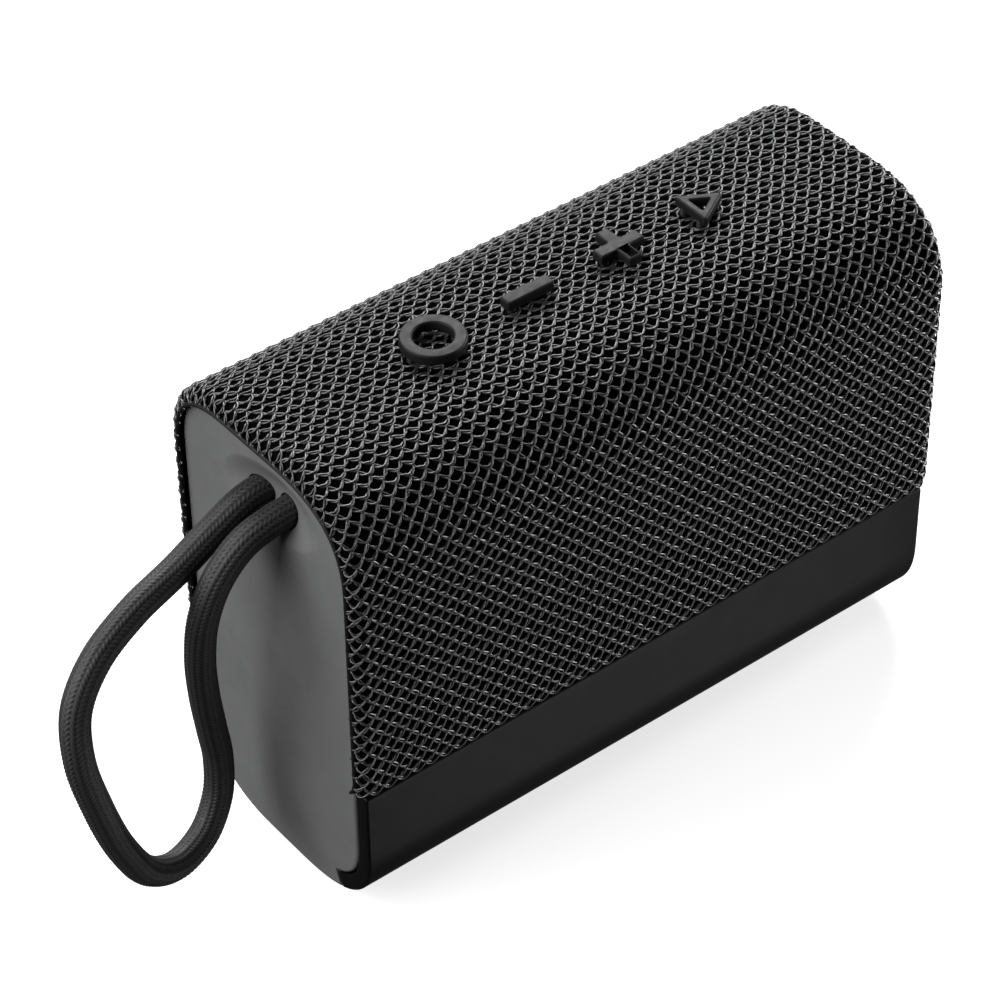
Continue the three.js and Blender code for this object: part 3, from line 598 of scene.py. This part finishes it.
def carried_frames(line):
    """A side and a lift direction at each point, carried along the line without twist."""
    tangent = np.gradient(line, axis=0)
    tangent /= np.linalg.norm(tangent, axis=1, keepdims=True)
    side = np.zeros_like(line)
    current = np.array([0.0, 1.0, 0.0])
    for i, t in enumerate(tangent):
        current = current - t * current.dot(t)
        current /= np.linalg.norm(current)
        side[i] = current
    return side, np.cross(tangent, side)


def braid_height(at, angle):
    """0 to 1: the height of a braid whose strands slant to meet in a row of Vs between columns."""
    column = np.mod(angle / (2 * math.pi) * BRAID_COLUMNS, 2)
    slant = BRAID_SLANT * (1 - np.abs(column - 1))
    across_strand = 2 * np.mod(at / BRAID_LEAD + slant, 1) - 1
    across_column = 2 * np.mod(column, 1) - 1
    return 0.6 * np.sqrt(1 - 0.95 * across_strand**2) + 0.4 * np.sqrt(1 - 0.9 * across_column**2)


def make_strap():
    curve = smooth_line(np.array(STRAP_ROUTE) * MM)
    at, line = even_line(curve, BRAID_STEP)
    side, lift = carried_frames(line)
    angle = np.linspace(0, 2 * math.pi, BRAID_SIDES, endpoint=False)
    height = braid_height(at[:, None], angle[None])
    radius = STRAP_RADIUS - BRAID_RELIEF * (1 - height)
    around = np.cos(angle)[None, :, None] * side[:, None] + np.sin(angle)[None, :, None] * lift[:, None]
    strap = ringed("strap_braid", line[:, None] + around * radius[..., None])
    strap.data.materials.append(FINISHES["strap_cord"])
    # Strand height is kept on the mesh only to paint shade into the braid's grooves.
    strand = strap.data.attributes.new("strand_height_shade", "FLOAT", "POINT")
    strand.data.foreach_set("value", height.ravel())
    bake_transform(strap)
    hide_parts("strap_loop")


# ---------------------------------------------------------------- knit sleeve

KNIT_PITCH = 2.45 * MM
ROW_SPACING = 1.29 * MM
ZIGZAG = 0.44 * MM
PLY_RADIUS = 0.13 * MM
PLY_SPREAD = 0.22 * MM
KNIT_DEPTH = 0.26 * MM
KNIT_RELIEF = 0.10 * MM
STEPS_PER_PITCH = 12
PLY_SIDES = 5
ROWS_PER_PIECE = 15
BACKING = (0.55 * MM, 0.75 * MM)
POST_CLEARANCE = 1.0 * MM
TUCK = 0.2 * MM
CLOTH_END = ROLL_START + ROLL * math.pi / 2 + TUCK
FIRST_ROW = BAND_TOP + GAP + 0.75 * MM
LAST_ROW_MARGIN = 0.5 * MM
ROW_WANDER = 0.05 * MM
PLY_WANDER = 0.03 * MM
LEAN = 0.12 * KNIT_PITCH
KNIT_SEED = 11
HEM_RADIUS = 0.35 * MM
HEM_PROUD = 0.05 * MM
HEM_SHIFT = 0.1 * MM
KEY_POSTS = {
    "power_button": [(-3.8, 0), (3.8, 0)],
    "minus_button": [(-2.8, 0), (2.8, 0)],
    "plus_button": [(-2.6, 0), (2.6, 0)],
    "play_button": [(-1.5, -1.8), (-1.5, 1.8), (2.6, 0)],
}


def key_x(name):
    low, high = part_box(name)
    return (low.x + high.x) / 2


def post_places():
    return [
        (key_x(name) + x * MM, TOP_MIDDLE + y * MM)
        for name, posts in KEY_POSTS.items()
        for x, y in posts
    ]


def fullness(around):
    """0 to 1: most at front and back, nothing on top or where the cloth is held."""
    held = np.minimum(around - BAND_TOP, TRAY_TOP - around) / FABRIC_EASE
    return outward(around)[..., 0] ** 2 * np.sin(np.clip(held, 0, 1) * math.pi / 2)


def on_fabric(along, around, depth):
    """Points on the sleeve, whose ends roll over a rounded edge; along is measured on the cloth."""
    reach = np.abs(along)
    turn = np.clip((reach - ROLL_START) / ROLL, 0, math.pi / 2)
    tuck = np.maximum(0, reach - ROLL_START - ROLL * math.pi / 2)
    x = np.minimum(reach, ROLL_START) + (ROLL - depth) * np.sin(turn)
    inwards = ROLL - (ROLL - depth) * np.cos(turn) + tuck - FABRIC_STAND * fullness(around)
    return placed(np.sign(along) * x, around, inwards)


def spread_round_posts(along, around):
    for x, s in post_places():
        away_x, away_s = along - x, around - s
        distance = np.hypot(away_x, away_s) + 1e-9
        pushed = (distance**3 + POST_CLEARANCE**3) ** (1 / 3)
        near = distance < 4 * POST_CLEARANCE
        along = np.where(near, x + away_x * pushed / distance, along)
        around = np.where(near, s + away_s * pushed / distance, around)
    return along, around


def wander(rng, at, scale, amount):
    """A smooth random offset along a row."""
    knots = np.arange(at[0] - scale, at[-1] + 2 * scale, scale)
    return np.interp(at, knots, rng.normal(0, amount, len(knots)))


def ply_line(row, ply, rng):
    """The centre line of one of a row's two plies: a zigzag that meets the rows on either side."""
    count = int(2 * CLOTH_END / KNIT_PITCH * STEPS_PER_PITCH)
    along = np.linspace(-CLOTH_END, CLOTH_END, count)
    phase = 2 * math.pi * along / KNIT_PITCH
    way = 1 if row % 2 else -1
    wave = np.sin(phase) - np.sin(3 * phase) / 12
    twist = phase + (math.pi if ply else 0) + row
    slow = wander(rng, along, 3 * KNIT_PITCH, ROW_WANDER)
    fine = wander(rng, along, 0.5 * KNIT_PITCH, PLY_WANDER)
    around = FIRST_ROW + row * ROW_SPACING + way * ZIGZAG * wave + slow
    around = around + PLY_SPREAD * np.cos(twist) + fine
    depth = KNIT_DEPTH + 0.5 * PLY_SPREAD * np.sin(twist) + KNIT_RELIEF * way * np.sin(phase)
    shifted = along + way * LEAN * np.cos(phase) * (1 if ply else 0.4)
    return (*spread_round_posts(shifted, around), depth)


def thread_rings(line, up):
    tangent = np.gradient(line, axis=0)
    tangent /= np.linalg.norm(tangent, axis=1, keepdims=True)
    side = np.cross(tangent, up)
    side /= np.linalg.norm(side, axis=1, keepdims=True)
    lift = np.cross(side, tangent)
    angle = np.linspace(0, 2 * math.pi, PLY_SIDES, endpoint=False)[None, :, None]
    return line[:, None] + PLY_RADIUS * (np.cos(angle) * side[:, None] + np.sin(angle) * lift[:, None])


def make_knit():
    rng = np.random.default_rng(KNIT_SEED)
    rows = int((TRAY_TOP - FIRST_ROW - LAST_ROW_MARGIN) / ROW_SPACING) + 1
    for start in range(0, rows, ROWS_PER_PIECE):
        vertices, faces, used = [], [], 0
        for row in range(start, min(rows, start + ROWS_PER_PIECE)):
            for ply in (0, 1):
                along, around, depth = ply_line(row, ply, rng)
                line = on_fabric(along, around, depth)
                up = on_fabric(along, around, depth - 0.1 * MM) - line
                rings = thread_rings(line, up)
                vertices.append(rings.reshape(-1, 3))
                faces.extend(grid_faces(len(rings), PLY_SIDES, used, close_columns=True))
                faces.append(np.arange(PLY_SIDES)[::-1] + used)
                faces.append(np.arange(PLY_SIDES) + used + (len(rings) - 1) * PLY_SIDES)
                used += len(rings) * PLY_SIDES
        name = f"knit_threads_{start // ROWS_PER_PIECE + 1}"
        piece = new_object(name, np.concatenate(vertices), faces)
        dress(piece, "knit_fabric", replaces=["knit_sleeve"] if start == 0 else ())


def make_backing():
    along = np.linspace(-CLOTH_END, CLOTH_END, 160)
    around = np.linspace(BAND_TOP + GAP, TRAY_TOP, 180)
    outer = on_fabric(along[:, None], around[None], BACKING[0])
    inner = on_fabric(along[:, None], around[None], BACKING[1])
    rings = np.concatenate([outer, inner[::-1]]).swapaxes(0, 1)
    # A sheet behind the threads stands for what lies under the cloth; its near-black finish is painted
    # shade for the knit's holes.
    dress(ringed("knit_backing", rings), "knit_fabric", material="knit_backing")


def make_hems():
    """The sleeve's rolled hem, a dark bead between the cloth and each cap."""
    around = np.linspace(BAND_TOP + GAP, TRAY_TOP, 300)
    angle = np.linspace(0, 2 * math.pi, 14, endpoint=False)
    reach = HALF_LENGTH + FABRIC_STAND_ENDS + HEM_PROUD - HEM_RADIUS
    beads = []
    for side in (-1, 1):
        along = side * (reach + HEM_RADIUS * np.cos(angle))
        depth = cap_inset(around)[:, None] - HEM_SHIFT + HEM_RADIUS * np.sin(angle)
        beads.append(ringed("hem", placed(along[None], around[:, None], depth)))
    dress(joined("knit_hems", beads), "knit_fabric", material="knit_hem")


# ---------------------------------------------------------------- band, tray and port

PORT_LOW, PORT_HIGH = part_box("port_door")
PORT_ROUND = 1.0 * MM
FLAP_EDGE = 0.35 * MM
NOTCH_RADIUS = 0.9 * MM
NOTCH_HALF = 2 * MM


def make_band():
    span = (-HALF_LENGTH, HALF_LENGTH)
    band = panel("front_band_shell", span, (BAND_FOOT, BAND_TOP), 0, SHELL_THICKNESS, SHELL_EDGE)
    dress(band, "band_plastic", replaces=["front_band"])


def port_block(name, grow, y0, y1, radius):
    low, high = PORT_LOW, PORT_HIGH
    section = rounded_section(high.x - low.x + 2 * grow, high.z - low.z + 2 * grow, radius)
    middle = (low + high) / 2
    rings = [[(middle.x + w, y, middle.z + h) for w, h in section] for y in (y0, y1)]
    return ringed(name, rings)


def make_tray():
    end = PERIMETER + BAND_FOOT - GAP
    span = (-SHELL_HALF, SHELL_HALF)
    tray = panel("bottom_tray_shell", span, (TRAY_TOP + GAP, end), 0, SHELL_THICKNESS, SHELL_EDGE)
    deep, proud = HALF_DEPTH - 5 * MM, HALF_DEPTH + 2 * MM
    cut_away(tray, [port_block("port_mouth", GAP, deep, proud, PORT_ROUND + 0.2 * MM)])
    dress(tray, "band_plastic", replaces=["bottom_tray"])


def make_port_door():
    low, high = PORT_LOW, PORT_HIGH
    section = filled(rounded_section(high.x - low.x, high.z - low.z, PORT_ROUND), 0.6 * MM)
    middle = (low + high) / 2
    stations = [(low.y, FLAP_EDGE), (low.y + FLAP_EDGE, 0)]
    for turn in np.linspace(0, math.pi / 2, 6):
        y = high.y - FLAP_EDGE * (1 - math.sin(turn))
        stations.append((y, FLAP_EDGE * (1 - math.cos(turn))))
    rings = []
    half = np.array([high.x - low.x, high.z - low.z]) / 2
    for y, shrink in stations:
        scaled = section * (half - shrink) / half
        rings.append([(middle.x + w, y, middle.z + h) for w, h in scaled])
    door = ringed("port_flap", rings)
    nail = (high.x, high.y + 0.5 * MM)
    low_end, high_end = (*nail, middle.z - NOTCH_HALF), (*nail, middle.z + NOTCH_HALF)
    notch = rod("notch", low_end, high_end, NOTCH_RADIUS)
    cut_away(door, [notch])
    dress(door, "soft_rubber", "port_flap", ["port_door"])


# ---------------------------------------------------------------- caps

DISH = {"y": -1.5 * MM, "z": 67.6 * MM, "depth": 2.4 * MM, "ry": 10.6 * MM, "rz": 5.9 * MM, "tilt": -0.14}
DISH_RIM = 1.04
CAP_EDGE = 0.5 * MM
CAP_STEP = 0.6 * MM
FOOT_GAP = 0.1 * MM
FOOT_STEP = 0.2 * MM
CAP_FACE_INSET = CAP_BAND_INSET + 0.8 * MM
CAP_SKIN = 1.4 * MM
SPIGOT_START = 1.9 * MM
SPIGOT_WALL = 2 * MM
STRAP_HOLE_RADIUS = 2.5 * MM


def cap_inset(around):
    """How far a cap's edge is in from the outline: behind the band, inside the sleeve, or level."""
    turn = np.mod(around, PERIMETER)
    places = [
        BAND_FOOT - FOOT_GAP - FOOT_STEP, BAND_FOOT - FOOT_GAP, BAND_TOP, BAND_TOP + CAP_STEP,
        TRAY_TOP + GAP, TRAY_TOP + GAP + CAP_STEP,
    ]
    inset = np.interp(turn, places, [0, CAP_BAND_INSET, CAP_BAND_INSET, CAP_INSET, CAP_INSET, 0])
    return inset - CAP_FULLNESS * fullness(turn)


def dish_radius(y, z):
    """Distance from the dish's middle, where 1 is on its ellipse."""
    c, s = math.cos(DISH["tilt"]), math.sin(DISH["tilt"])
    dy, dz = y - DISH["y"], z - DISH["z"]
    return np.hypot((c * dy + s * dz) / DISH["ry"], (-s * dy + c * dz) / DISH["rz"])


def dish_depth(y, z):
    inside = np.clip(1 - (dish_radius(y, z) / DISH_RIM) ** 2, 0, 1)
    return DISH["depth"] * inside**1.5


def cap_edge_places():
    """Places round a cap's edge, close together on every step in its inset."""
    start = BAND_FOOT - FOOT_GAP
    spans = [
        (start, BAND_TOP, 60),
        (BAND_TOP, BAND_TOP + CAP_STEP, 5),
        (BAND_TOP + CAP_STEP, TRAY_TOP + GAP, 220),
        (TRAY_TOP + GAP, TRAY_TOP + GAP + CAP_STEP, 5),
        (TRAY_TOP + GAP + CAP_STEP, PERIMETER + start - FOOT_STEP, 140),
        (PERIMETER + start - FOOT_STEP, PERIMETER + start, 5),
    ]
    return np.concatenate([np.linspace(*span)[:-1] for span in spans])


def dish_rim(yz):
    """The points of the dish's rim in the directions of the given points from its middle."""
    middle = np.array([DISH["y"], DISH["z"]])
    return middle + (yz - middle) * (DISH_RIM / dish_radius(*yz.T))[:, None]


def cap_face_rings(around, dished):
    """Rings of (depth, y, z) from just inside the face's stepped edge to its middle."""
    if not dished:
        return []
    smooth = placed(0, around, CAP_FACE_INSET)[:, 1:]
    rim = dish_rim(smooth)
    middle = np.array([0, STRAP_EXIT_Z])
    flats = [smooth + (rim - smooth) * share for share in np.linspace(0, 1, 10)[:-1]]
    bowls = [middle + (rim - middle) * share for share in np.linspace(1, 0.02, 48)]
    return [np.column_stack([dish_depth(*yz.T), yz]) for yz in flats + bowls]


def cap_plate(name, side, dished):
    around = cap_edge_places()
    inset = cap_inset(around)
    edge = placed(0, around, inset)[:, 1:]
    face_edge = placed(0, around, inset + CAP_EDGE)[:, 1:]
    front = []
    for turn in np.linspace(0, math.pi / 2, 6):
        yz = face_edge + (edge - face_edge) * math.cos(turn)
        front.append(np.column_stack([np.full(len(edge), CAP_EDGE * (1 - math.sin(turn))), yz]))
    face = cap_face_rings(around, dished)
    behind = [ring.copy() for ring in face]
    for ring in behind:
        ring[:, 0] = np.maximum(CAP_THICKNESS, ring[:, 0] + CAP_SKIN)
    back_edge = np.column_stack([np.full(len(edge), CAP_THICKNESS), edge])
    rings = np.array([*reversed(behind), back_edge, *front, *face])
    rings[..., 0] = side * (HALF_LENGTH - rings[..., 0])
    return shade_by_angle(ringed(name, rings))


def cap_spigot(name, side):
    around = np.linspace(0, PERIMETER, 200, endpoint=False)
    rings = []
    for deep, inset in [(False, 0), (True, 0), (True, SPIGOT_WALL), (False, SPIGOT_WALL)]:
        ring = placed(0, around, CAP_SPIGOT_INSET + inset)
        start = SPIGOT_START
        if side < 0:
            start = np.maximum(start, dish_depth(ring[:, 1], ring[:, 2]) + CAP_SKIN / 2)
        ring[:, 0] = side * (HALF_LENGTH - (CAP_DEPTH if deep else start))
        rings.append(ring)
    rings = np.array(rings)
    faces = grid_faces(4, len(around), close_rows=True, close_columns=True)
    return shade_by_angle(face_outwards(new_object(name, rings.reshape(-1, 3), faces)))


def keep_level(made):
    """Flat shading on the faces that look straight along X."""
    for face in made.data.polygons:
        if abs(face.normal.x) > 0.9999:
            face.use_smooth = False
    return made


def strap_hole(y):
    start = (-HALF_LENGTH - MM, y, STRAP_EXIT_Z)
    end = (-HALF_LENGTH + 12 * MM, y, STRAP_EXIT_Z)
    return rod("hole", start, end, STRAP_HOLE_RADIUS)


def make_caps():
    left = cap_plate("left_plate", -1, dished=True)
    cut_away(left, [strap_hole(y) for y in (-STRAP_EXIT_Y, STRAP_EXIT_Y)])
    left = joined("left_cap_shell", [left, cap_spigot("spigot", -1)])
    dress(keep_level(left), "cap_plastic", replaces=["left_cap"])
    right = joined("right_cap_shell", [cap_plate("right_plate", 1, dished=False), cap_spigot("spigot", 1)])
    dress(keep_level(right), "cap_plastic", replaces=["right_cap"])


# ---------------------------------------------------------------- keys and feet

KEY_UNDERSIDE = 79.3 * MM
KEY_TOP = 80.9 * MM
KEY_EDGE = 0.32 * MM
POST_LOW = 72.4 * MM
POST_OVERLAP = 0.4 * MM
POST_RADIUS = 0.65 * MM
PUSHER_LOW = 72.1 * MM
PUSHER_TOP = 72.9 * MM
PUSHER_HALF_LONG = 4.7 * MM
PUSHER_ROUND = 0.8 * MM
RING = (4.75 * MM, 2.85 * MM)
BAR_HALF_LONG = 4.1 * MM
BAR_HALF_WIDE = 1.1 * MM
PLUS_REACH = 3.9 * MM
TRIANGLE_REACH = 4.1 * MM
TRIANGLE_HOLE = 1.75 * MM


def filleted(points, radius, arc=6):
    """A closed polygon with its corners rounded."""
    points = [Vector(p) for p in points]
    out = []
    for i, here in enumerate(points):
        before = (points[i - 1] - here).normalized()
        after = (points[(i + 1) % len(points)] - here).normalized()
        half = before.angle(after) / 2
        reach = radius / math.tan(half)
        middle = here + (before + after).normalized() * radius / math.sin(half)
        start, end = here + before * reach - middle, here + after * reach - middle
        turn = start.angle_signed(end)
        for j in range(arc + 1):
            out.append(middle + Matrix.Rotation(-turn * j / arc, 2) @ start)
    return [tuple(p) for p in out]


def circle(radius, sides=72):
    return [
        (radius * math.cos(a), radius * math.sin(a))
        for a in np.linspace(0, 2 * math.pi, sides, endpoint=False)
    ]


def raised(name, loops, place, z0, z1, edge):
    """A flat shape with holes, raised from z0 to z1 with rounded edges."""
    curve = bpy.data.curves.new(name, "CURVE")
    curve.dimensions = "2D"
    curve.fill_mode = "BOTH"
    curve.extrude = (z1 - z0) / 2 - edge
    curve.bevel_depth = edge
    curve.bevel_resolution = 4
    curve.offset = -edge
    for loop in loops:
        spline = curve.splines.new("POLY")
        spline.points.add(len(loop) - 1)
        spline.use_cyclic_u = True
        for point, (x, y) in zip(spline.points, loop):
            point.co = (x, y, 0, 1)
    source = bpy.data.objects.new(name + "_curve", curve)
    bpy.context.scene.collection.objects.link(source)
    bpy.context.view_layer.update()
    graph = bpy.context.evaluated_depsgraph_get()
    mesh = bpy.data.meshes.new_from_object(source.evaluated_get(graph))
    bpy.data.objects.remove(source)
    made = bpy.data.objects.new(name, mesh)
    made.data.transform(Matrix.Translation((*place, (z0 + z1) / 2)))
    bpy.context.scene.collection.objects.link(made)
    work = bmesh.new()
    work.from_mesh(made.data)
    bmesh.ops.remove_doubles(work, verts=work.verts, dist=1e-6)
    bmesh.ops.recalc_face_normals(work, faces=work.faces)
    work.to_mesh(made.data)
    work.free()
    return shade_by_angle(made, 40)


def bar_loop(half_x, half_y, radius=0.5 * MM):
    corners = [(half_x, half_y), (-half_x, half_y), (-half_x, -half_y), (half_x, -half_y)]
    return filleted(corners, radius)


def plus_loop(reach, wide):
    corners = [
        (reach, wide), (wide, wide), (wide, reach), (-wide, reach), (-wide, wide), (-reach, wide),
        (-reach, -wide), (-wide, -wide), (-wide, -reach), (wide, -reach), (wide, -wide), (reach, -wide),
    ]
    return filleted(corners, 0.25 * MM)


def triangle_loop(reach, radius):
    corners = [
        (reach * math.cos(a), reach * math.sin(a)) for a in (0, 2 * math.pi / 3, 4 * math.pi / 3)
    ]
    return filleted(corners, radius)


def key_loops(name):
    if name == "power_button":
        return [circle(RING[0]), circle(RING[1])]
    if name == "minus_button":
        return [bar_loop(BAR_HALF_LONG, BAR_HALF_WIDE)]
    if name == "plus_button":
        return [plus_loop(PLUS_REACH, BAR_HALF_WIDE)]
    return [triangle_loop(TRIANGLE_REACH, 0.3 * MM), triangle_loop(TRIANGLE_HOLE, 0.1 * MM)]


def make_keys():
    for name, posts in KEY_POSTS.items():
        x = key_x(name)
        parts = [raised("face", key_loops(name), (x, 0), KEY_UNDERSIDE, KEY_TOP, KEY_EDGE)]
        for px, py in posts:
            at = (x + px * MM, py * MM)
            top = (*at, KEY_UNDERSIDE + POST_OVERLAP)
            parts.append(rod("post", (*at, POST_LOW), top, POST_RADIUS, 20))
        reach_y = 2.8 * MM if name == "play_button" else 1.3 * MM
        pusher = bar_loop(PUSHER_HALF_LONG, reach_y, PUSHER_ROUND)
        parts.append(raised("pusher", [pusher], (x, 0), PUSHER_LOW, PUSHER_TOP, 0.1 * MM))
        key = joined(name.replace("button", "key_top"), parts)
        dress(key, "key_rubber", name.replace("button", "key"), [name])


def make_feet():
    for name in ("front_foot", "rear_foot"):
        low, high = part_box(name)
        middle = (low + high) / 2
        loop = bar_loop((high.x - low.x) / 2, (high.y - low.y) / 2, 1.9 * MM)
        foot = raised(name + "_pad", [loop], (middle.x, middle.y), low.z, BASE_Z + 0.15 * MM, 0.2 * MM)
        dress(foot, "soft_rubber", replaces=[name])


# ---------------------------------------------------------------- floor and light


def add_light(name, place, target, size, power):
    data = bpy.data.lights.new(name, "AREA")
    data.shape = "RECTANGLE"
    data.size, data.size_y = size
    data.energy = power
    light = bpy.data.objects.new(name, data)
    light.location = place
    light.rotation_euler = (Vector(target) - Vector(place)).to_track_quat("-Z", "Y").to_euler()
    bpy.context.scene.collection.objects.link(light)


def make_stage():
    half = 3.0
    corners = [(-half, -half, 0), (half, -half, 0), (half, half, 0), (-half, half, 0)]
    floor = new_object("floor", corners, [(0, 1, 2, 3)])
    paper = Finish("floor_paper", (0.4, 0.4, 0.4), 0.9, specular=0.1)
    paper.shader.inputs["Emission Color"].default_value = (1, 1, 1, 1)
    paper.shader.inputs["Emission Strength"].default_value = 0.72
    floor.data.materials.append(paper.material)
    floor.visible_diffuse = False
    floor.visible_glossy = False
    floor.visible_shadow = False
    world = bpy.data.worlds.new("studio")
    world.use_nodes = True
    world.node_tree.nodes["Background"].inputs["Color"].default_value = (1, 1, 1, 1)
    world.node_tree.nodes["Background"].inputs["Strength"].default_value = 0.06
    bpy.context.scene.world = world
    middle = (0, 0, 0.04)
    add_light("left_softbox", (-0.85, 0.25, 0.6), middle, (1.1, 1.1), 26)
    add_light("right_softbox", (0.95, -0.2, -0.02), middle, (0.7, 0.7), 28)
    add_light("back_softbox", (0.45, 0.7, 0.75), middle, (0.8, 0.6), 30)
    add_light("floor_bounce", (0.3, -0.7, -0.5), middle, (0.6, 0.4), 2)
    bpy.context.scene.view_settings.view_transform = "Standard"


# ---------------------------------------------------------------- everything

add_camera()
make_strap()
make_stage()
dress_cad_nodes()
make_knit()
make_backing()
make_hems()
make_band()
make_tray()
make_port_door()
make_caps()
make_keys()
make_feet()
